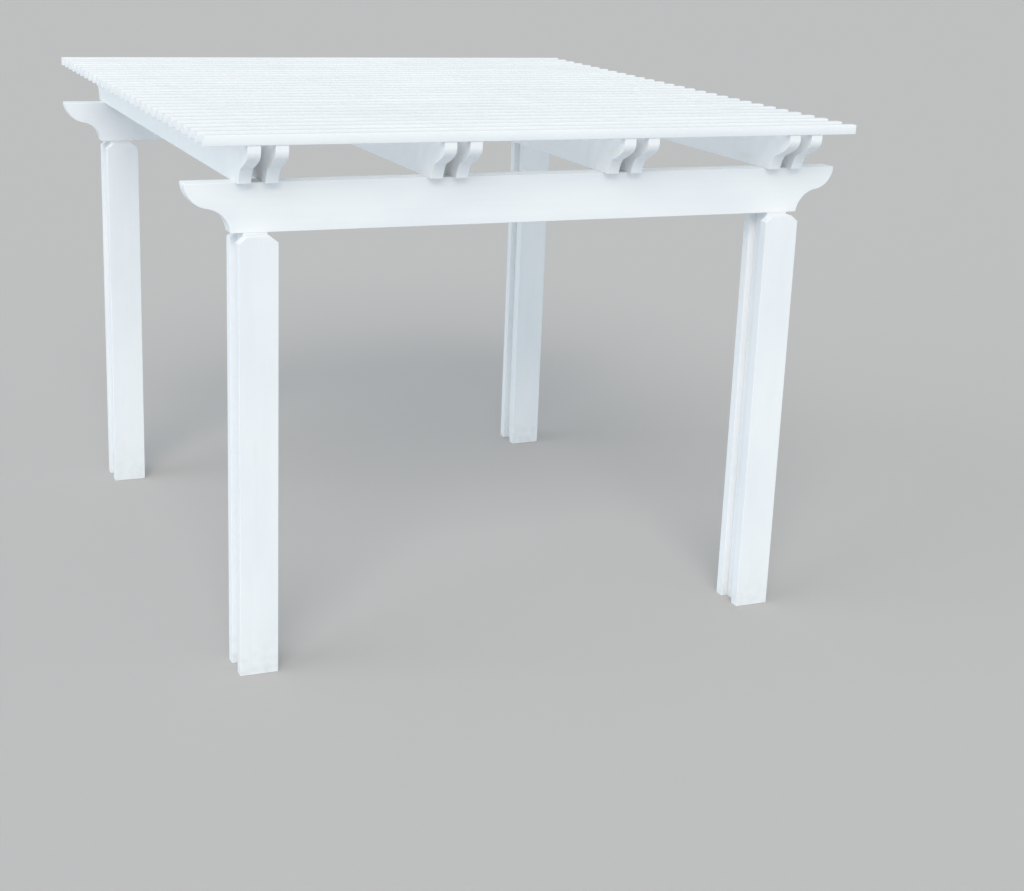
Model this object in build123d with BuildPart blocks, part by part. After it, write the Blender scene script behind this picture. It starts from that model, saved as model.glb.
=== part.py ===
from build123d import *
import math
import os

os.makedirs("parts", exist_ok=True)

# White garden pergola: four built-up posts, two scrolled beams across the
# front and rear, paired rafters from front to rear and a roof of thin slats.
# Millimetres, +Z up. The origin is on the ground at the centre of the plan.
# X runs along the beams and the slats, and -Y is the front.

# Post layout, centre to centre
post_spacing_x = 2700.0
post_spacing_y = 3000.0

# Post made of a front board, a narrower core and a rear board
post_board_width = 184.0
post_board_thickness = 56.0
post_core_width = 114.0
post_core_thickness = 100.0
board_stop_below_beam = 8.0
board_clip_width = 38.0
board_clip_height = 30.0

# Beams that lie on the post cores
beam_underside = 2110.0
beam_height = 226.0
beam_overhang = 316.0
beam_scroll_length = 205.0
beam_nose = 12.0
beam_waist_length = 98.0
beam_waist_drop = 114.0
beam_belly_bulge = 24.0
beam_cove_bulge = 26.5

# Rafters in pairs over the beams
rafter_pairs = 4
rafter_thickness = 60.0
rafter_gap = 64.0
rafter_height = 191.0
rafter_end_setback = 4.0
rafter_scroll_length = 165.0
rafter_nose = 30.0
rafter_knuckle_length = 27.0
rafter_knuckle_drop = 71.0
rafter_knuckle_bulge = 5.5
rafter_waist_length = 124.0
rafter_waist_drop = 116.0
rafter_belly_bulge = 2.5
rafter_cove_bulge = 6.5

# Roof slats
slat_side = 46.0
slat_count = 29
slats_per_group = 3
roof_overhang_x = 280.0
roof_overhang_y = 269.0

# Levels and reaches that follow from the sizes above
beam_thickness = post_core_thickness
beam_top = beam_underside + beam_height
rafter_top = beam_top + rafter_height
board_top = beam_underside - board_stop_below_beam
beam_reach = post_spacing_x / 2 + beam_overhang
roof_reach_x = post_spacing_x / 2 + roof_overhang_x
roof_reach_y = post_spacing_y / 2 + roof_overhang_y
rafter_reach = roof_reach_y - rafter_end_setback
board_offset = (post_core_thickness + post_board_thickness) / 2
rafter_offset = (rafter_gap + rafter_thickness) / 2
slat_pitch = (2 * roof_reach_y - slat_side) / (slat_count - 1)

post_places = {
    "front_left": (-post_spacing_x / 2, -post_spacing_y / 2),
    "front_right": (post_spacing_x / 2, -post_spacing_y / 2),
    "rear_left": (-post_spacing_x / 2, post_spacing_y / 2),
    "rear_right": (post_spacing_x / 2, post_spacing_y / 2),
}


def save_piece(piece, label):
    piece.label = label
    export_step(piece, "parts/" + label + ".step")


def bulged_middle(start, end, bulge):
    """Middle point of an arc that stands off its chord to the left by bulge."""
    run_x = end[0] - start[0]
    run_z = end[1] - start[1]
    chord = math.hypot(run_x, run_z)
    mid_x = (start[0] + end[0]) / 2 - run_z / chord * bulge
    mid_z = (start[1] + end[1]) / 2 + run_x / chord * bulge
    return (mid_x, mid_z)


def scrolled_end(reach, top, nose, arcs):
    """Outline of an end: a short upright nose, then arcs down to the lip.
    Each arc is given by its end, back from the reach and down from the top, and its bulge."""
    start = (reach, top - nose)
    Line((reach, top), start)
    for back, down, bulge in arcs:
        end = (reach - back, top - down)
        ThreePointArc(start, bulged_middle(start, end, bulge), end)
        start = end


# Post cores: the inner square timber that carries the beam
def post_core(place):
    with BuildPart() as core:
        with BuildSketch(Plane.XY):
            with Locations(place):
                Rectangle(post_core_width, post_core_thickness)
        extrude(amount=beam_underside)
    return core.part


# Post boards: wide faces with clipped upper corners
def post_board(place, side):
    board_y = place[1] + side * board_offset
    half_width = post_board_width / 2
    with BuildPart() as board:
        with BuildSketch(Plane.XZ.offset(-board_y)):
            with BuildLine():
                Polyline(
                    (place[0] - half_width, 0),
                    (place[0] + half_width, 0),
                    (place[0] + half_width, board_top - board_clip_height),
                    (place[0] + half_width - board_clip_width, board_top),
                    (place[0] - half_width + board_clip_width, board_top),
                    (place[0] - half_width, board_top - board_clip_height),
                    close=True,
                )
            make_face()
        extrude(amount=post_board_thickness / 2, both=True)
    return board.part


for place_name, place in post_places.items():
    save_piece(post_core(place), place_name + "_post_core")
    save_piece(post_board(place, -1), place_name + "_post_front_board")
    save_piece(post_board(place, 1), place_name + "_post_rear_board")


# Beams: one long timber on each row of posts. At both ends a round belly and a hollow
# meet in one smooth curve.
beam_arcs = [
    (beam_waist_length, beam_waist_drop, beam_belly_bulge),
    (beam_scroll_length, beam_height, -beam_cove_bulge),
]


def beam(centre_y):
    with BuildPart() as timber:
        with BuildSketch(Plane.XZ.offset(-centre_y)):
            with BuildLine():
                Line((0, beam_top), (beam_reach, beam_top))
                scrolled_end(beam_reach, beam_top, beam_nose, beam_arcs)
                Line((beam_reach - beam_scroll_length, beam_underside), (0, beam_underside))
                mirror(about=Plane.YZ)
            make_face()
        extrude(amount=beam_thickness / 2, both=True)
    return timber.part


save_piece(beam(-post_spacing_y / 2), "front_beam")
save_piece(beam(post_spacing_y / 2), "rear_beam")


# Rafters: planks on edge that lie on both beams. Their ends have a tight knuckle
# under the nose, a long flat belly and a steep hollow.
rafter_arcs = [
    (rafter_knuckle_length, rafter_knuckle_drop, rafter_knuckle_bulge),
    (rafter_waist_length, rafter_waist_drop, rafter_belly_bulge),
    (rafter_scroll_length, rafter_height, -rafter_cove_bulge),
]


def rafter(centre_x):
    with BuildPart() as plank:
        with BuildSketch(Plane.YZ.offset(centre_x)):
            with BuildLine():
                Line((0, rafter_top), (rafter_reach, rafter_top))
                scrolled_end(rafter_reach, rafter_top, rafter_nose, rafter_arcs)
                Line((rafter_reach - rafter_scroll_length, beam_top), (0, beam_top))
                mirror(about=Plane.YZ)
            make_face()
        extrude(amount=rafter_thickness / 2, both=True)
    return plank.part


pair_names = ["left", "centre_left", "centre_right", "right"]
for index in range(rafter_pairs):
    pair_x = -post_spacing_x / 2 + index * post_spacing_x / (rafter_pairs - 1)
    save_piece(rafter(pair_x - rafter_offset), pair_names[index] + "_rafter_left_plank")
    save_piece(rafter(pair_x + rafter_offset), pair_names[index] + "_rafter_right_plank")


# Roof slats: square battens across all the rafters, in groups from front to rear
def slat_group(first):
    end = min(first + slats_per_group, slat_count)
    with BuildPart() as group:
        with BuildSketch(Plane.YZ.offset(-roof_reach_x)):
            for index in range(first, end):
                slat_y = -roof_reach_y + slat_side / 2 + index * slat_pitch
                with Locations((slat_y, rafter_top + slat_side / 2)):
                    Rectangle(slat_side, slat_side)
        extrude(amount=2 * roof_reach_x)
    return group.part


for group_index in range(math.ceil(slat_count / slats_per_group)):
    group_label = f"roof_slats_{group_index + 1:02d}"
    save_piece(slat_group(group_index * slats_per_group), group_label)
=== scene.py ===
# %% [markdown]
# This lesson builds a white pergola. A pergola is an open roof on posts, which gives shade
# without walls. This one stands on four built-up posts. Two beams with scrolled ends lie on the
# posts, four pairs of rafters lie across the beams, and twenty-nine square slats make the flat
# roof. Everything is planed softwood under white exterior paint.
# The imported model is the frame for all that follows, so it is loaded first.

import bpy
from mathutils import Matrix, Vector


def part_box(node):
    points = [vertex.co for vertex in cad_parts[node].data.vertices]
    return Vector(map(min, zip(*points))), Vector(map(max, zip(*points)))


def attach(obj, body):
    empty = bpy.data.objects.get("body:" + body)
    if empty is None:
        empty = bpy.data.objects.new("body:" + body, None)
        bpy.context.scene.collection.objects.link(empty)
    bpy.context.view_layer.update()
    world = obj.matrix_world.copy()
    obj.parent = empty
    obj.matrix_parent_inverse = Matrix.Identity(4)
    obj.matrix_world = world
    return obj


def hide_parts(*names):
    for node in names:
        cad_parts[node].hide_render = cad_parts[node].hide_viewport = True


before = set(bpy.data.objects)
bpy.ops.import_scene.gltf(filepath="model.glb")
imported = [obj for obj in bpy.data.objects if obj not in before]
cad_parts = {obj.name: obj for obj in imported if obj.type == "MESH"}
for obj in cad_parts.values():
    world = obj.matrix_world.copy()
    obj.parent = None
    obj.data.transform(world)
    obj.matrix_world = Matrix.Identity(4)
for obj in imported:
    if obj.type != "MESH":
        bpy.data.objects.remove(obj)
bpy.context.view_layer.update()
print("timbers in the frame:", len(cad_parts))

# %% [markdown]
# Shader trees and Geometry Nodes trees are both built from nodes and links. One small helper adds
# a node, sets its options and fills its inputs, either with a value or with a link from another
# node's output. Some nodes keep several sockets of one name for different kinds of data, so the
# helper takes the one that is switched on. Nodes that do sums name their inputs alike, so two
# more helpers fill those in their order.

# %% Helpers that add nodes
import bpy


def live_socket(sockets, name):
    """The socket of that name that is switched on."""
    return next(s for s in sockets if s.name == name and s.enabled)


def fill(tree, socket, value):
    """Links an input to another node's output, or gives it a plain value."""
    if isinstance(value, bpy.types.NodeSocket):
        tree.links.new(value, socket)
    else:
        socket.default_value = value


def add_node(tree, kind, inputs=None, **options):
    """Adds a node, sets its options, then fills its inputs by their names."""
    node = tree.nodes.new(kind)
    for option, value in options.items():
        setattr(node, option, value)
    for name, value in (inputs or {}).items():
        fill(tree, live_socket(node.inputs, name), value)
    return node


def combined(tree, operation, *values):
    """Numbers put together by an operation such as ADD or MULTIPLY."""
    node = add_node(tree, "ShaderNodeMath", operation=operation)
    for socket, value in zip(node.inputs, values):
        fill(tree, socket, value)
    return node.outputs["Value"]


def combined_vectors(tree, operation, *vectors):
    """Vectors put together by an operation such as ADD or MULTIPLY_ADD."""
    node = add_node(tree, "ShaderNodeVectorMath", operation=operation)
    for socket, vector in zip(node.inputs, vectors):
        fill(tree, socket, vector)
    return node.outputs["Vector"]


print("nodes are built in Blender", bpy.app.version_string)

# %% [markdown]
# White paint isn't one flat colour. Planed softwood shows its grain as fine ridges that run along
# the board, the brush leaves finer lines in the same direction, and the coat is a little thinner
# in some places than in others. Knots bleed through as faint warm ovals. The grain direction
# differs between posts, beams and rafters, so the paint is a function that is told which axis the
# timber runs along. It reads a number stored on each timber, its tone, to shift the pattern, so
# that no two boards share their grain.

# %% The grain and brush marks under the paint
import math

ALONG_X, ALONG_Y, ALONG_Z = range(3)

# how often each pattern repeats in a metre
GRAIN_ALONG, GRAIN_ACROSS = 1.3, 46.0
BRUSH_ALONG, BRUSH_ACROSS = 4.0, 230.0


def stretched(tree, place, axis, along, across):
    """Coordinates that draw a pattern out along one axis."""
    repeats = [across] * 3
    repeats[axis] = along
    mapped = add_node(tree, "ShaderNodeMapping", {"Vector": place, "Scale": repeats})
    return mapped.outputs["Vector"]


def stretched_noise(tree, place, axis, along, across, **inputs):
    """Noise drawn out along one axis."""
    place = stretched(tree, place, axis, along, across)
    noise = add_node(tree, "ShaderNodeTexNoise", {"Vector": place, "Scale": 1.0, **inputs})
    return noise.outputs["Fac"]


def remapped(tree, value, low, high, new_low, new_high):
    """A value stretched from one range to another and held inside it."""
    span = add_node(
        tree,
        "ShaderNodeMapRange",
        {"Value": value, "From Min": low, "From Max": high, "To Min": new_low, "To Max": new_high},
    )
    return span.outputs["Result"]


print("grain lines about", round(1000 / GRAIN_ACROSS), "mm apart")
print("brush lines about", round(1000 / BRUSH_ACROSS), "mm apart")

# %% [markdown]
# The colour of the coat comes next. It starts from a clean, plain white. Clouds of a faintly
# greyer and cooler white stand for weather, and each timber differs a little from its neighbour.
# Knots leave a faint warm stain. At the foot of the posts the coat turns greyer in spots over the
# lowest third of a metre, most of all at the foot. That band reads the height above the ground,
# which is the same as object Z because every piece keeps its place in its mesh.

# %% Colour of the coat
CLEAN_WHITE = (0.893, 0.892, 0.89, 1.0)
WEATHERED_WHITE = (0.81, 0.82, 0.835, 1.0)
KNOT_STAIN = (0.83, 0.81, 0.75, 1.0)
# the grey that the posts turn towards their foot, in spots
FOOT_GREY = (0.62, 0.62, 0.58, 1.0)
FOOT_BAND_HEIGHT = 0.34
FOOT_BAND_FADE = 2.2

# how often each pattern repeats in a metre
CLOUDS_ALONG, CLOUDS_ACROSS = 1.6, 5.0
KNOTS_ALONG, KNOTS_ACROSS = 1.5, 7.0
FOOT_SPOTS = 26.0

# each range says from which two values of a pattern to which two shares of its effect
WEATHER_BY_CLOUDS = (0.4, 0.72, 0.0, 0.55)
WEATHER_BY_TONE = (0.0, 1.0, 0.0, 0.3)
WEATHER_BY_GRAIN = (0.42, 0.7, 0.0, 0.14)
STAIN_BY_KNOTS = (0.05, 0.16, 0.45, 0.0)
FOOT_GREY_BY_SPOTS = (0.4, 0.75, 0.1, 0.5)


def mixed_colour(tree, amount, first, second):
    """One colour over another by an amount from 0 to 1."""
    mix = add_node(
        tree, "ShaderNodeMix", {"Factor": amount, "A": first, "B": second}, data_type="RGBA"
    )
    return live_socket(mix.outputs, "Result")


def weather_amount(tree, own_place, axis, tone, grain):
    """How far the coat has weathered: in clouds, timber by timber and a little with the grain."""
    clouds = stretched_noise(tree, own_place, axis, CLOUDS_ALONG, CLOUDS_ACROSS, Detail=3.0)
    weather = remapped(tree, clouds, *WEATHER_BY_CLOUDS)
    weather = combined(tree, "ADD", weather, remapped(tree, tone, *WEATHER_BY_TONE))
    return combined(tree, "ADD", weather, remapped(tree, grain, *WEATHER_BY_GRAIN))


def knot_stains(tree, own_place, axis):
    """Ovals drawn out along the grain, strongest in their middle."""
    place = stretched(tree, own_place, axis, KNOTS_ALONG, KNOTS_ACROSS)
    cells = add_node(tree, "ShaderNodeTexVoronoi", {"Vector": place, "Scale": 1.0})
    return remapped(tree, cells.outputs["Distance"], *STAIN_BY_KNOTS)


def greyer_towards_foot(tree, place, own_place):
    """Grey spots that fade out with the height above the ground, darkest at the foot."""
    height = add_node(tree, "ShaderNodeSeparateXYZ", {"Vector": place}).outputs["Z"]
    band = remapped(tree, height, 0.0, FOOT_BAND_HEIGHT, 1.0, 0.0)
    spots = add_node(
        tree, "ShaderNodeTexNoise", {"Vector": own_place, "Scale": FOOT_SPOTS, "Detail": 5.0}
    )
    spots = remapped(tree, spots.outputs["Fac"], *FOOT_GREY_BY_SPOTS)
    return combined(tree, "MULTIPLY", combined(tree, "POWER", band, FOOT_BAND_FADE), spots)


# the posts turn greyer in spots up to this height
print("soil is splashed up to", FOOT_BAND_HEIGHT, "m")

# %% [markdown]
# A brushed coat isn't level. It follows the ridges of the grain, keeps the lines of the brush and
# dips over the knots, all by well under a millimetre. Such marks are too fine to model, so they
# go to a bump, and the brush lines also make the shine uneven. One function puts the paint
# together and is called once for each kind of timber. The rafters' coat weathers less than the
# rest, so it is lighter: painted light that stands in for brighter light on their shaded sides.

# %% White exterior paint
TONE_ATTRIBUTE = "timber_tone"
OWN_PATTERN = (31.0, 17.0, 23.0)
RELIEF_DEPTH = 0.0009
RELIEF_STRENGTH = 0.6
BRUSH_RELIEF = 0.4
KNOT_RELIEF = 0.5
ROUGHNESS_BY_BRUSH = (0.3, 0.7, 0.4, 0.56)
PAINT_SHEEN = 0.4
# the rafters' coat weathers less than the rest, which paints it lighter: painted light for their
# shaded sides
RAFTER_WEATHERING_FOR_PAINTED_LIGHT = 0.35


def coat_relief(tree, grain, brush, knots):
    """The bump of a brushed coat."""
    height = combined(tree, "ADD", grain, combined(tree, "MULTIPLY", brush, BRUSH_RELIEF))
    dips = combined(tree, "MULTIPLY", knots, KNOT_RELIEF)
    height = combined(tree, "SUBTRACT", height, dips)
    bump = add_node(
        tree,
        "ShaderNodeBump",
        {"Strength": RELIEF_STRENGTH, "Distance": RELIEF_DEPTH, "Height": height},
    )
    return bump.outputs["Normal"]


def white_paint(name, axis, weathering_and_painted_light=1.0, greyed=False):
    """Satin white paint over softwood whose grain runs along an axis."""
    paint = bpy.data.materials.new(name)
    paint.use_nodes = True
    tree = paint.node_tree
    place = add_node(tree, "ShaderNodeTexCoord").outputs["Object"]
    tone = add_node(tree, "ShaderNodeAttribute", attribute_name=TONE_ATTRIBUTE).outputs["Fac"]
    own_place = combined_vectors(tree, "MULTIPLY_ADD", tone, OWN_PATTERN, place)
    grain = stretched_noise(
        tree, own_place, axis, GRAIN_ALONG, GRAIN_ACROSS,
        Detail=5.0, Roughness=0.6, Distortion=0.5,
    )
    brush = stretched_noise(tree, own_place, axis, BRUSH_ALONG, BRUSH_ACROSS, Detail=2.0)
    knots = knot_stains(tree, own_place, axis)

    weather = weather_amount(tree, own_place, axis, tone, grain)
    weather = combined(tree, "MULTIPLY", weather, weathering_and_painted_light)
    colour = mixed_colour(tree, weather, CLEAN_WHITE, WEATHERED_WHITE)
    colour = mixed_colour(tree, knots, colour, KNOT_STAIN)
    # greyer in spots towards the foot of the posts
    if greyed:
        foot_grey_share = greyer_towards_foot(tree, place, own_place)
        colour = mixed_colour(tree, foot_grey_share, colour, FOOT_GREY)

    shader = tree.nodes["Principled BSDF"]
    tree.links.new(colour, shader.inputs["Base Color"])
    tree.links.new(remapped(tree, brush, *ROUGHNESS_BY_BRUSH), shader.inputs["Roughness"])
    tree.links.new(coat_relief(tree, grain, brush, knots), shader.inputs["Normal"])
    shader.inputs["Specular IOR Level"].default_value = PAINT_SHEEN
    return paint


post_paint = white_paint("white_paint_on_posts", ALONG_Z, greyed=True)
beam_paint = white_paint("white_paint_on_beams", ALONG_X)
# the rafters get the lighter coat, painted light that stands in for the light on their shaded sides
rafter_paint = white_paint(
    "white_paint_on_rafters", ALONG_Y, weathering_and_painted_light=RAFTER_WEATHERING_FOR_PAINTED_LIGHT
)
slat_paint = white_paint("white_paint_on_slats", ALONG_X)
paints = (post_paint, beam_paint, rafter_paint, slat_paint)
print("paints:", [paint.name for paint in paints])

# %% [markdown]
# Posts, beams and rafters are sawn from planks: an outline is marked on the wide face, cut square
# through, and the edges are eased with sandpaper so that paint holds on them. The code works the
# same way. It takes an outline as points in a vertical plane, gives it thickness, and bevels
# every outward edge that a hand would feel as sharp. The many small edges along a curve meet at a
# few degrees, so they are left out and shaded smooth. Weighted normals keep the wide faces
# looking flat beside their narrow eased edges. The modifier's result is taken as a plain mesh, so
# nothing is left to work out later.

# %% Cut a timber from its outline
import random

import bmesh

EASED_EDGE = 0.003
EASED_EDGE_STEPS = 2
ROUND_PROFILE = 0.5
FELT_ANGLE = math.radians(25)
SMOOTH_ANGLE = math.radians(50)
STACK_SEED = 27
board_stack = random.Random(STACK_SEED)


def plain_mesh(piece):
    """The mesh that a piece's modifiers make, with nothing live left in it."""
    bpy.context.view_layer.update()
    evaluated = piece.evaluated_get(bpy.context.evaluated_depsgraph_get())
    mesh = bpy.data.meshes.new_from_object(evaluated)
    mesh.name = piece.name
    return mesh


def cut_timber(name, outline, thickness_axis, near, far, paint, eased=EASED_EDGE):
    """A timber with an outline of (run, height) points, from near to far along an axis."""
    def place(run, height, depth):
        return (run, depth, height) if thickness_axis == "Y" else (depth, run, height)

    form = bmesh.new()
    near_rim = [form.verts.new(place(run, height, near)) for run, height in outline]
    far_rim = [form.verts.new(place(run, height, far)) for run, height in outline]
    form.faces.new(near_rim)
    form.faces.new(reversed(far_rim))
    for i in range(len(outline)):
        j = (i + 1) % len(outline)
        form.faces.new((near_rim[j], near_rim[i], far_rim[i], far_rim[j]))
    bmesh.ops.recalc_face_normals(form, faces=form.faces)
    felt_edges = [e for e in form.edges if e.is_convex and e.calc_face_angle() > FELT_ANGLE]
    bmesh.ops.bevel(
        form, geom=felt_edges, offset=eased, segments=EASED_EDGE_STEPS,
        profile=ROUND_PROFILE, affect="EDGES",
    )
    mesh = bpy.data.meshes.new(name)
    form.to_mesh(mesh)
    form.free()

    mesh.materials.append(paint)
    mesh.shade_smooth()
    mesh.set_sharp_from_angle(angle=SMOOTH_ANGLE)
    tone = mesh.attributes.new(TONE_ATTRIBUTE, "FLOAT", "POINT")
    tone.data.foreach_set("value", [board_stack.random()] * len(mesh.vertices))
    piece = bpy.data.objects.new(name, mesh)
    bpy.context.collection.objects.link(piece)
    flat_faces = piece.modifiers.new("flat faces", "WEIGHTED_NORMAL")
    flat_faces.keep_sharp = True
    piece.data = plain_mesh(piece)
    piece.modifiers.clear()
    return piece


def put_in_frame(piece, node):
    """The piece stands for a node of the frame: the node is hidden and the piece rides on the root.
    """
    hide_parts(node)
    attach(piece, "root")


print("edges are eased by", 1000 * EASED_EDGE, "mm")

# %% [markdown]
# Each post is built up from three timbers, which is stronger and straighter than one thick one. A
# nearly square core carries the beam. Two wide boards, one at the front and one at the rear, are
# fixed over it and leave a deep groove on each side. The boards stop just under the beam, and
# their upper corners are clipped, so that rain drips clear. The frame gives each board's box, so
# the code only adds the clip.

# %% Post boards and cores
BOARD_CLIP_WIDTH = 0.038
BOARD_CLIP_HEIGHT = 0.030
corners = ("front_left", "front_right", "rear_left", "rear_right")
board_sides = ("front_board", "rear_board")


def board_outline(low, high):
    """A tall board with both upper corners cut off."""
    shoulder = high.z - BOARD_CLIP_HEIGHT
    return [
        (low.x, low.z),
        (high.x, low.z),
        (high.x, shoulder),
        (high.x - BOARD_CLIP_WIDTH, high.z),
        (low.x + BOARD_CLIP_WIDTH, high.z),
        (low.x, shoulder),
    ]


for corner in corners:
    for side in board_sides:
        node = f"{corner}_post_{side}"
        low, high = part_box(node)
        outline = board_outline(low, high)
        board = cut_timber(f"{node}_timber", outline, "Y", low.y, high.y, post_paint)
        put_in_frame(board, node)
    node = f"{corner}_post_core"
    low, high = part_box(node)
    outline = [(low.x, low.z), (high.x, low.z), (high.x, high.z), (low.x, high.z)]
    core = cut_timber(f"{node}_timber", outline, "Y", low.y, high.y, post_paint)
    put_in_frame(core, node)
print("post boards stand", round(high.z, 3), "m tall with their cores")

# %% [markdown]
# The beam and rafter ends are cut to a scroll: a short upright nose, a round belly below it, then
# a hollow that runs down to the lip. A joiner draws it with a compass as arcs that meet end to
# end, some bulging out and the last bulging in. Here an arc is drawn from its two ends and how
# far it stands off the straight line between them, and is divided finely enough that no corner
# shows on it. A scroll is then a list of arcs, each given by how far its end lies back from the
# nose, how far down from the top, and its bulge. The last arc ends on the underside.

# %% Arcs for the scrolled ends
ARC_STEPS = 18


def arc(start, end, bulge):
    """Points on an arc from start to end that stands off its chord, to the left of it, by bulge."""
    run, rise = end[0] - start[0], end[1] - start[1]
    chord = math.hypot(run, rise)
    radius = (chord**2 / 4 + bulge**2) / (2 * abs(bulge))
    to_left = (-rise / chord, run / chord)
    side = math.copysign(1, bulge)
    centre = [(start[k] + end[k]) / 2 + to_left[k] * side * (abs(bulge) - radius) for k in (0, 1)]
    first = math.atan2(start[1] - centre[1], start[0] - centre[0])
    sweep = -side * 2 * math.asin(min(1.0, chord / 2 / radius))
    return [
        (centre[0] + radius * math.cos(first + sweep * i / ARC_STEPS),
         centre[1] + radius * math.sin(first + sweep * i / ARC_STEPS))
        for i in range(ARC_STEPS + 1)
    ]


def scrolled_end(reach, top, nose, arcs):
    """The end of a timber from its upper corner, down the nose and along the arcs, to the lip."""
    outline = [(reach, top), (reach, top - nose)]
    for back, down, bulge in arcs:
        outline += arc(outline[-1], (reach - back, top - down), bulge)[1:]
    return outline


def both_ends(right_end):
    """A whole outline from its right end and the same end mirrored."""
    return right_end + [(-run, height) for run, height in reversed(right_end)]


half_circle = arc((0.0, 0.0), (1.0, 0.0), 0.5)
print("a half circle is drawn with", len(half_circle), "points")

# %% [markdown]
# The two beams carry the roof. Each is one thick timber, a little taller than a hand is long,
# laid on edge over two post cores, and it overhangs them so that its scrolls show past the posts.
# The belly and the hollow are nearly alike and meet almost level, halfway along and halfway down,
# so the eye follows one smooth S. A beam is thicker than a jigsaw cuts, so in the workshop the
# scroll is cut on a bandsaw and sanded. Its outline is the scroll twice and two straight lines,
# which is why an outline with thickness suits it better than a modelled block.

# %% Front and rear beam
BEAM_NOSE = 0.012
BEAM_BELLY = (0.098, 0.114, 0.024)
BEAM_LIP_BACK = 0.205
BEAM_HOLLOW_BULGE = -0.0265

for node in ("front_beam", "rear_beam"):
    low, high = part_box(node)
    hollow = (BEAM_LIP_BACK, high.z - low.z, BEAM_HOLLOW_BULGE)
    right_end = scrolled_end(high.x, high.z, BEAM_NOSE, [BEAM_BELLY, hollow])
    beam = cut_timber(f"{node}_timber", both_ends(right_end), "Y", low.y, high.y, beam_paint)
    put_in_frame(beam, node)
    print(beam.name, len(beam.data.polygons), "faces", round(2 * high.x, 3), "m long")

# %% [markdown]
# Eight rafters run from front to rear in four pairs. Each is a plank on edge that lies on both
# beams, and its lip stands a few centimetres out from the beam. The ends have a fuller scroll
# than the beams: a tight knuckle under the nose, a long flat belly and a steep hollow. That is
# one arc more, in the same list.

# %% Rafter planks
RAFTER_NOSE = 0.030
RAFTER_KNUCKLE = (0.027, 0.071, 0.0055)
RAFTER_BELLY = (0.124, 0.116, 0.0025)
RAFTER_LIP_BACK = 0.165
RAFTER_HOLLOW_BULGE = -0.0065
RAFTER_EASED_EDGE = 0.0025
pairs = ("left", "centre_left", "centre_right", "right")
plank_sides = ("left_plank", "right_plank")

for pair in pairs:
    for side in plank_sides:
        node = f"{pair}_rafter_{side}"
        low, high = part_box(node)
        hollow = (RAFTER_LIP_BACK, high.z - low.z, RAFTER_HOLLOW_BULGE)
        arcs = [RAFTER_KNUCKLE, RAFTER_BELLY, hollow]
        outline = both_ends(scrolled_end(high.y, high.z, RAFTER_NOSE, arcs))
        plank = cut_timber(
            f"{node}_timber", outline, "X", low.x, high.x, rafter_paint, eased=RAFTER_EASED_EDGE
        )
        put_in_frame(plank, node)
lip_y = high.y - RAFTER_LIP_BACK
beam_face_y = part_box("rear_beam")[1].y
print("rafter lips stand", round(1000 * (lip_y - beam_face_y)), "mm out from the beams")

# %% [markdown]
# The roof is twenty-nine square slats, all alike and evenly spaced. Repeated work like this is
# what Geometry Nodes are for: one tree says how a row of slats is made, with named inputs for its
# sizes, and each group of the frame gets its own copy of the numbers. The tree lays a row of
# lines, lets them wander sideways by about a millimetre as sawn slats do, and sweeps a square
# with rounded corners along them. Each slat is given its own tone. Instances are made real at the
# end, because an exported model can't hold them.

# %% Inputs for a Geometry Nodes tree
SOCKET_KINDS = {
    "count": "NodeSocketInt",
    "length": "NodeSocketFloat",
    "place": "NodeSocketVector",
    "turn": "NodeSocketRotation",
    "finish": "NodeSocketMaterial",
}


def new_geometry_tree(name, inputs):
    """A tree with named inputs and one geometry output."""
    tree = bpy.data.node_groups.new(name, "GeometryNodeTree")
    for label, kind in inputs.items():
        tree.interface.new_socket(label, in_out="INPUT", socket_type=SOCKET_KINDS[kind])
    tree.interface.new_socket("Timber", in_out="OUTPUT", socket_type="NodeSocketGeometry")
    given = tree.nodes.new("NodeGroupInput").outputs
    return tree, given


def drawn_by_chance(tree, low, high, seed):
    """A number between low and high, drawn anew for each point or instance."""
    drawn = add_node(
        tree, "FunctionNodeRandomValue", {"Min": low, "Max": high, "Seed": seed}, data_type="FLOAT"
    )
    return live_socket(drawn.outputs, "Value")


def with_tone(tree, instances, tone):
    """Instances that each carry their own tone for the paint."""
    stored = add_node(
        tree,
        "GeometryNodeStoreNamedAttribute",
        {"Geometry": instances, "Name": TONE_ATTRIBUTE, "Value": tone},
        data_type="FLOAT",
        domain="INSTANCE",
    )
    return stored.outputs["Geometry"]


def finish_tree(tree, geometry, finish):
    """Makes instances real, paints the result and sends it out."""
    real = add_node(tree, "GeometryNodeRealizeInstances", {"Geometry": geometry})
    painted = add_node(
        tree, "GeometryNodeSetMaterial", {"Geometry": real.outputs["Geometry"], "Material": finish}
    )
    result = tree.nodes.new("NodeGroupOutput")
    tree.links.new(painted.outputs["Geometry"], result.inputs["Timber"])


def made_by(tree, name, values):
    """A piece made by a tree from named values, as a plain mesh."""
    piece = bpy.data.objects.new(name, bpy.data.meshes.new(name))
    modifier = piece.modifiers.new(tree.name, "NODES")
    modifier.node_group = tree
    identifiers = {s.name: s.identifier for s in tree.interface.items_tree if s.in_out == "INPUT"}
    for label, value in values.items():
        modifier[identifiers[label]] = value
    bpy.context.collection.objects.link(piece)
    piece.data = plain_mesh(piece)
    piece.modifiers.clear()
    return piece


print("kinds of input:", sorted(SOCKET_KINDS))

# %% [markdown]
# The tree starts with the middle lines of the slats. A row of points gives one point for each
# slat, and a line across the whole roof is laid on every point. While the lines are still
# instances, each is given its tone, so that a slat has one tone from end to end.

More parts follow.
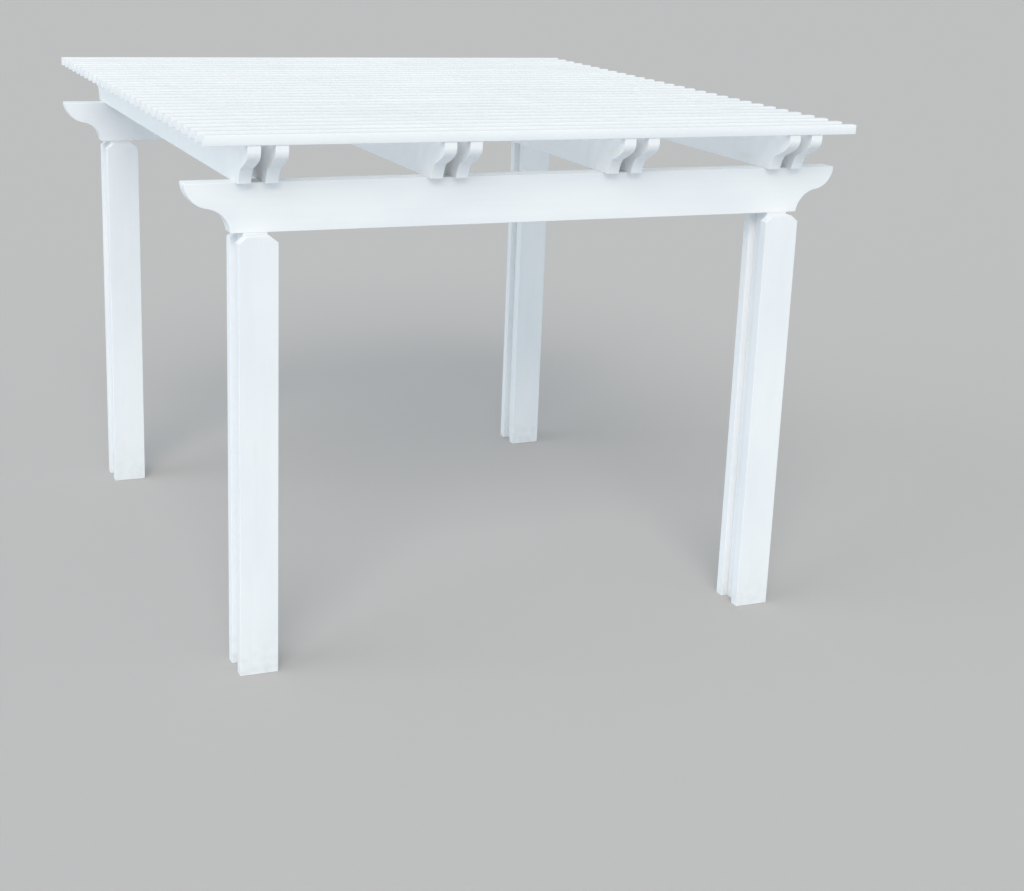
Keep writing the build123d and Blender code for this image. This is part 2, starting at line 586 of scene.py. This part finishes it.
# %% A row of lines for the slats
slat_row, given = new_geometry_tree(
    "row_of_slats",
    {"Slats": "count", "First Slat": "place", "Step": "place", "Half Length": "place",
     "Side": "length", "Eased Edge": "length", "Wander": "length", "Seed": "count",
     "Paint": "finish"},
)
row = add_node(
    slat_row,
    "GeometryNodeMeshLine",
    {"Count": given["Slats"], "Start Location": given["First Slat"], "Offset": given["Step"]},
)
back = add_node(
    slat_row,
    "ShaderNodeVectorMath",
    {"Vector": given["Half Length"], "Scale": -1.0},
    operation="SCALE",
)
centre_line = add_node(
    slat_row,
    "GeometryNodeCurvePrimitiveLine",
    {"Start": back.outputs["Vector"], "End": given["Half Length"]},
)
laid = add_node(
    slat_row,
    "GeometryNodeInstanceOnPoints",
    {"Points": row.outputs["Mesh"], "Instance": centre_line.outputs["Curve"]},
)
slat_tone = drawn_by_chance(slat_row, 0.0, 1.0, given["Seed"])
lines = add_node(
    slat_row,
    "GeometryNodeRealizeInstances",
    {"Geometry": with_tone(slat_row, laid.outputs["Instances"], slat_tone)},
)
print("nodes for the lines:", len(slat_row.nodes))

# %% [markdown]
# Sawn slats aren't dead straight, so noise moves each line sideways. The line is cut into short
# runs first, because a straight line with two points can't bend. Noise that reads the position
# gives the same slat every time the script runs, and its seed is an input.

# %% Let the slats wander
POINTS_ALONG_SLAT = 17
DRIFT_REPEATS = 1.1

runs = add_node(
    slat_row,
    "GeometryNodeResampleCurve",
    {"Curve": lines.outputs["Geometry"], "Count": POINTS_ALONG_SLAT},
    mode="COUNT",
)
seed_place = add_node(
    slat_row, "ShaderNodeCombineXYZ", {"X": given["Seed"], "Y": given["Seed"], "Z": given["Seed"]}
)
where = add_node(slat_row, "GeometryNodeInputPosition")
seeded = combined_vectors(
    slat_row, "ADD", where.outputs["Position"], seed_place.outputs["Vector"]
)
drift = add_node(
    slat_row, "ShaderNodeTexNoise", {"Vector": seeded, "Scale": DRIFT_REPEATS, "Detail": 1.0}
)
# the noise runs from 0 to 1 and the wander to both sides, from -1 to 1
sideways = combined(slat_row, "SUBTRACT", drift.outputs["Fac"], 0.5)
sideways = combined(slat_row, "MULTIPLY", sideways, 2.0)
sideways = combined(slat_row, "MULTIPLY", sideways, given["Wander"])
offset = add_node(slat_row, "ShaderNodeCombineXYZ", {"Y": sideways})
moved = add_node(
    slat_row,
    "GeometryNodeSetPosition",
    {"Geometry": runs.outputs["Curve"], "Offset": offset.outputs["Vector"]},
)
print("runs in each slat:", POINTS_ALONG_SLAT - 1)

# %% [markdown]
# Last, a square is swept along the lines. It is filleted before the sweep, so the eased edges run
# the whole length of a slat. The lines' normals are held upright, so that no slat twists.

# %% Sweep a square along the lines
upright = add_node(
    slat_row, "GeometryNodeSetCurveNormal", {"Curve": moved.outputs["Geometry"]}, mode="Z_UP"
)
square = add_node(
    slat_row,
    "GeometryNodeCurvePrimitiveQuadrilateral",
    {"Width": given["Side"], "Height": given["Side"]},
)
eased_square = add_node(
    slat_row,
    "GeometryNodeFilletCurve",
    {"Curve": square.outputs["Curve"], "Count": EASED_EDGE_STEPS, "Radius": given["Eased Edge"]},
    mode="POLY",
)
swept = add_node(
    slat_row,
    "GeometryNodeCurveToMesh",
    {"Curve": upright.outputs["Curve"], "Profile Curve": eased_square.outputs["Curve"],
     "Fill Caps": True},
)
finish_tree(slat_row, swept.outputs["Mesh"], given["Paint"])
print("nodes in the slat tree:", len(slat_row.nodes))

# %% [markdown]
# Each group of slats takes its place from the frame. The box of a group gives the length and the
# side. The first group holds three slats, so its box also gives the step from one slat to the
# next, and with the step known the number of slats in any group follows from its box: the last
# one holds two. The seed is the group's number, so every group differs and every run is the same.

# %% Roof slats
FIRST_GROUP_SLATS = 3
SLAT_EASED_EDGE = 0.0025
SLAT_WANDER = 0.0012
slat_groups = sorted(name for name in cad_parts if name.startswith("roof_slats_"))
roof_low, roof_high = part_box(slat_groups[0])
slat_side = roof_high.z - roof_low.z
slat_step = (roof_high.y - roof_low.y - slat_side) / (FIRST_GROUP_SLATS - 1)
slat_total = 0

for number, node in enumerate(slat_groups, start=1):
    low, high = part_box(node)
    slats_here = round((high.y - low.y - slat_side) / slat_step) + 1
    slat_total += slats_here
    slats = made_by(
        slat_row,
        f"{node}_timber",
        {"Slats": slats_here,
         "First Slat": (0.0, low.y + slat_side / 2, low.z + slat_side / 2),
         "Step": (0.0, slat_step, 0.0),
         "Half Length": (high.x, 0.0, 0.0),
         "Side": slat_side,
         "Eased Edge": SLAT_EASED_EDGE,
         "Wander": SLAT_WANDER,
         "Seed": number,
         "Paint": slat_paint},
    )
    put_in_frame(slats, node)
    if number == 1:
        front_edge = min(vertex.co.y for vertex in slats.data.vertices)
        print("front slat wanders", round(1000 * (low.y - front_edge), 1), "mm out of its box")
print(slat_total, "slats, one every", round(1000 * slat_step), "mm")

# %% [markdown]
# A screw goes down through every slat into every rafter, and pairs of screws hold the post boards
# to their cores. Both are grids of screws, so one tree makes them all. It lays one row of points
# on each point of another row, which makes a grid.

# %% A grid of points for screws
screw_rows, given = new_geometry_tree(
    "rows_of_screws",
    {"Rows": "count", "First Screw": "place", "Row Step": "place", "Screws In Row": "count",
     "Screw Step": "place", "Facing": "turn", "Head Radius": "length", "Head Height": "length",
     "Seed": "count", "Paint": "finish"},
)
rows = add_node(
    screw_rows,
    "GeometryNodeMeshLine",
    {"Count": given["Rows"], "Start Location": given["First Screw"], "Offset": given["Row Step"]},
)
one_row = add_node(
    screw_rows,
    "GeometryNodeMeshLine",
    {"Count": given["Screws In Row"], "Offset": given["Screw Step"]},
)
grid = add_node(
    screw_rows,
    "GeometryNodeInstanceOnPoints",
    {"Points": rows.outputs["Mesh"], "Instance": one_row.outputs["Mesh"]},
)
points = add_node(
    screw_rows, "GeometryNodeRealizeInstances", {"Geometry": grid.outputs["Instances"]}
)
print("nodes for the grid:", len(screw_rows.nodes))

# %% [markdown]
# The screws are driven flush and painted over with the timber, so only a low round head shows.
# Hundreds of them need few faces each: a cone cut off just above its base is a head with a soft
# rim, and it is sunk so that no gap shows under it. Heads differ a little in size and tone, and
# each is turned to face out of the timber.

# %% Heads on the points
HEAD_SIDES = 12
HEAD_TOP_SHARE = 0.78
HEAD_SUNK_SHARE = 0.4
SMALLEST_HEAD, LARGEST_HEAD = 0.93, 1.07
LOWEST_HEAD_TONE, HIGHEST_HEAD_TONE = 0.3, 1.0

rim = combined(screw_rows, "MULTIPLY", given["Head Radius"], HEAD_TOP_SHARE)
head = add_node(
    screw_rows,
    "GeometryNodeMeshCone",
    {"Vertices": HEAD_SIDES, "Radius Top": rim, "Radius Bottom": given["Head Radius"],
     "Depth": given["Head Height"]},
)
sunk_by = combined(screw_rows, "MULTIPLY", given["Head Height"], -HEAD_SUNK_SHARE)
move_down = add_node(screw_rows, "ShaderNodeCombineXYZ", {"Z": sunk_by})
sunk_head = add_node(
    screw_rows,
    "GeometryNodeTransform",
    {"Geometry": head.outputs["Mesh"], "Translation": move_down.outputs["Vector"]},
)
head_size = drawn_by_chance(screw_rows, SMALLEST_HEAD, LARGEST_HEAD, given["Seed"])
driven = add_node(
    screw_rows,
    "GeometryNodeInstanceOnPoints",
    {"Points": points.outputs["Geometry"], "Instance": sunk_head.outputs["Geometry"],
     "Rotation": given["Facing"], "Scale": head_size},
)
head_tone = drawn_by_chance(screw_rows, LOWEST_HEAD_TONE, HIGHEST_HEAD_TONE, given["Seed"])
toned_heads = with_tone(screw_rows, driven.outputs["Instances"], head_tone)
finish_tree(screw_rows, toned_heads, given["Paint"])
print("nodes in the screw tree:", len(screw_rows.nodes))

# %% [markdown]
# On the roof the rows follow the slats and cross the two planks of a rafter pair, so each pair
# gets one piece with fifty-eight heads. The rows start at the first slat and keep the slats' own
# step.

# %% Screws through the slats
SCREW_RADIUS = 0.0045
SCREW_HEIGHT = 0.0009

for number, pair in enumerate(pairs, start=1):
    left_low, left_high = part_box(f"{pair}_rafter_left_plank")
    right_low, right_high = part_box(f"{pair}_rafter_right_plank")
    left_middle = (left_low.x + left_high.x) / 2
    right_middle = (right_low.x + right_high.x) / 2
    screws = made_by(
        screw_rows,
        f"{pair}_rafter_slat_screws",
        {"Rows": slat_total,
         "First Screw": (left_middle, roof_low.y + slat_side / 2, roof_high.z),
         "Row Step": (0.0, slat_step, 0.0),
         "Screws In Row": len(plank_sides),
         "Screw Step": (right_middle - left_middle, 0.0, 0.0),
         "Facing": (0.0, 0.0, 0.0),
         "Head Radius": SCREW_RADIUS,
         "Head Height": SCREW_HEIGHT,
         "Seed": number,
         "Paint": slat_paint},
    )
    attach(screws, "root")
print("screws on the roof:", len(pairs) * len(plank_sides) * slat_total)

# %% [markdown]
# Each post board is held by pairs of screws into its core, two side by side and six pairs up its
# height. Front boards face forward and rear boards face back, so the heads are turned a quarter
# one way or the other.

# %% Screws in the post boards
SCREWS_IN_PAIR = 2
SCREW_PAIRS = 6
SCREW_PAIR_WIDTH = 0.066
LOWEST_PAIR = 0.15
TOP_PAIR_BELOW_BOARD_END = 0.16

for corner in corners:
    for number, side in enumerate(board_sides, start=1):
        low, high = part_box(f"{corner}_post_{side}")
        faces_front = side == "front_board"
        face_y = low.y if faces_front else high.y
        quarter = math.pi / 2 if faces_front else -math.pi / 2
        middle = (low.x + high.x) / 2
        rise = (high.z - TOP_PAIR_BELOW_BOARD_END - LOWEST_PAIR) / (SCREW_PAIRS - 1)
        screws = made_by(
            screw_rows,
            f"{corner}_post_{side}_screws",
            {"Rows": SCREW_PAIRS,
             "First Screw": (middle - SCREW_PAIR_WIDTH / 2, face_y, LOWEST_PAIR),
             "Row Step": (0.0, 0.0, rise),
             "Screws In Row": SCREWS_IN_PAIR,
             "Screw Step": (SCREW_PAIR_WIDTH, 0.0, 0.0),
             "Facing": (quarter, 0.0, 0.0),
             "Head Radius": SCREW_RADIUS,
             "Head Height": SCREW_HEIGHT,
             "Seed": number,
             "Paint": post_paint},
        )
        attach(screws, "root")
boards = len(corners) * len(board_sides)
print("screws in the post boards:", boards * SCREW_PAIRS * SCREWS_IN_PAIR)

# %% [markdown]
# The light is an overcast sky, brighter at the horizon than overhead, a broad soft sun from the
# front left, and a weaker light from the open sky on the left. The horizon and the side light
# keep upright faces light where the sun doesn't reach. The sun is slightly warm and the sky
# slightly cool, so that faces in the sun look white. Together they are set so that a colour
# renders about as it is written: a level surface gets a light of about one.

# %% Strength of the light
SKY_AT_HORIZON = 1.0
SKY_OVERHEAD = 0.66
SKY_TINT = (0.84, 0.94, 1.0)
SUN = dict(
    light=1.30, tint=(1.0, 0.94, 0.88),
    height=math.radians(38), side=math.radians(-24), breadth=math.radians(32),
)
SIDE_LIGHT = dict(
    light=0.80, tint=(0.80, 0.91, 1.0),
    height=math.radians(24), side=math.radians(-86), breadth=math.radians(50),
)

# the sky's light on a level surface is two thirds of the way from the horizon's to overhead's
sky_on_level = SKY_AT_HORIZON + (SKY_OVERHEAD - SKY_AT_HORIZON) * 2 / 3
level_light = [sky_on_level * tint for tint in SKY_TINT]
for lamp in (SUN, SIDE_LIGHT):
    share = lamp["light"] * math.sin(lamp["height"]) / math.pi
    level_light = [light + share * tint for light, tint in zip(level_light, lamp["tint"])]
print("light on a level surface:", [round(v, 3) for v in level_light])

# %% [markdown]
# White timber shows best against something a little darker, so the floor is a plain pale stone
# grey. It is a very large disc, and it is rough all over: a matt floor keeps the same tone out to
# the horizon. The light that bounces from the floor is a little lighter and cooler than the tone
# it shows, because the shaded sides of the timbers are a clear pale blue and not grey.

# %% Floor
FLOOR_TONE = (0.524, 0.494, 0.478)
FLOOR_BOUNCE = (0.57, 0.60, 0.635)
FLOOR_RADIUS = 300.0
FLOOR_SIDES = 96

floor_form = bmesh.new()
bmesh.ops.create_circle(floor_form, cap_ends=True, segments=FLOOR_SIDES, radius=FLOOR_RADIUS)
floor_mesh = bpy.data.meshes.new("floor")
floor_form.to_mesh(floor_mesh)
floor_form.free()
floor = bpy.data.objects.new("floor", floor_mesh)
bpy.context.collection.objects.link(floor)
stone = bpy.data.materials.new("pale_stone_floor")
stone.use_nodes = True
stone_tree = stone.node_tree
stone_tree.nodes.clear()


def seen_or_lighting(tree, lighting, seen):
    """One colour for what lights the timbers, another for what the camera and reflections see."""
    ray = add_node(tree, "ShaderNodeLightPath").outputs
    mirrored = combined(tree, "MAXIMUM", ray["Is Glossy Ray"], ray["Is Transmission Ray"])
    is_seen = combined(tree, "MAXIMUM", ray["Is Camera Ray"], mirrored)
    return mixed_colour(tree, is_seen, lighting, seen)


floor_colour = seen_or_lighting(stone_tree, (*FLOOR_BOUNCE, 1.0), (*FLOOR_TONE, 1.0))
matt = add_node(stone_tree, "ShaderNodeBsdfDiffuse", {"Color": floor_colour})
stone_out = add_node(stone_tree, "ShaderNodeOutputMaterial")
stone_tree.links.new(matt.outputs["BSDF"], stone_out.inputs["Surface"])
floor_mesh.materials.append(stone)
floor_seen = [tone * light for tone, light in zip(FLOOR_TONE, level_light)]
print("floor as the camera sees it:", [round(v, 3) for v in floor_seen])

# %% [markdown]
# The sky lights the timbers with the strengths and the tint above. The camera sees the floor's
# own tone there instead, as it looks under this light, so the floor seems to have no end. Each
# lamp shines from its height above the horizon and its side, and its breadth sets how soft its
# shadows are.

# %% Sky and lamps
world = bpy.data.worlds.new("overcast")
bpy.context.scene.world = world
world.use_nodes = True
sky_tree = world.node_tree
sky_tree.nodes.clear()
direction = add_node(sky_tree, "ShaderNodeTexCoord").outputs["Generated"]
height = add_node(sky_tree, "ShaderNodeSeparateXYZ", {"Vector": direction}).outputs["Z"]
strength = remapped(sky_tree, height, 0.0, 1.0, SKY_AT_HORIZON, SKY_OVERHEAD)
sky_light = add_node(
    sky_tree, "ShaderNodeVectorMath", {"Vector": SKY_TINT, "Scale": strength}, operation="SCALE"
).outputs["Vector"]
sky_colour = seen_or_lighting(sky_tree, sky_light, (*floor_seen, 1.0))
sky = add_node(sky_tree, "ShaderNodeBackground", {"Color": sky_colour, "Strength": 1.0})
world_out = add_node(sky_tree, "ShaderNodeOutputWorld")
sky_tree.links.new(sky.outputs["Background"], world_out.inputs["Surface"])

for name, lamp in (("soft_sun", SUN), ("side_light", SIDE_LIGHT)):
    lamp_data = bpy.data.lights.new(name, "SUN")
    lamp_data.energy = lamp["light"]
    lamp_data.color = lamp["tint"]
    lamp_data.angle = lamp["breadth"]
    lamp_object = bpy.data.objects.new(name, lamp_data)
    lamp_object.rotation_euler = (math.pi / 2 - lamp["height"], 0.0, lamp["side"])
    bpy.context.collection.objects.link(lamp_object)
    print(name, "stands", round(math.degrees(lamp["height"])), "degrees above the horizon")

# %% [markdown]
# The camera stands outside the front left corner, well above head height, and looks down over the
# roof's front edge. Its place, turn and lens came from measuring the straight edges of the posts,
# beams and roof. The small shift keeps the lens centred as it was when the picture was trimmed.

# %% Camera
from mathutils import Matrix, Vector

CAMERA_PLACE = (-3.3802, -8.9687, 3.5600)
CAMERA_YAW = 0.4194
CAMERA_PITCH = -0.2752
CAMERA_ROLL = 0.0394
CAMERA_LENS = 61.054
CAMERA_SENSOR = 36.0
CAMERA_SHIFT_Y = -0.0503

forward_level = Vector((math.sin(CAMERA_YAW), math.cos(CAMERA_YAW), 0.0))
right_level = Vector((math.cos(CAMERA_YAW), -math.sin(CAMERA_YAW), 0.0))
up_level = Vector((0.0, 0.0, 1.0))
forward = forward_level * math.cos(CAMERA_PITCH) + up_level * math.sin(CAMERA_PITCH)
up = up_level * math.cos(CAMERA_PITCH) - forward_level * math.sin(CAMERA_PITCH)
right = right_level * math.cos(CAMERA_ROLL) + up * math.sin(CAMERA_ROLL)
up = up * math.cos(CAMERA_ROLL) - right_level * math.sin(CAMERA_ROLL)

camera_data = bpy.data.cameras.new("front_left_view")
camera_data.lens = CAMERA_LENS
camera_data.sensor_width = CAMERA_SENSOR
camera_data.shift_y = CAMERA_SHIFT_Y
camera = bpy.data.objects.new("front_left_view", camera_data)
camera_turn = Matrix((right, up, -forward)).transposed().to_4x4()
camera.matrix_world = Matrix.Translation(CAMERA_PLACE) @ camera_turn
bpy.context.collection.objects.link(camera)
bpy.context.scene.camera = camera
bpy.context.scene.view_settings.view_transform = "Standard"
print("camera is", round(Vector(CAMERA_PLACE).length, 2), "m from the middle of the plan")
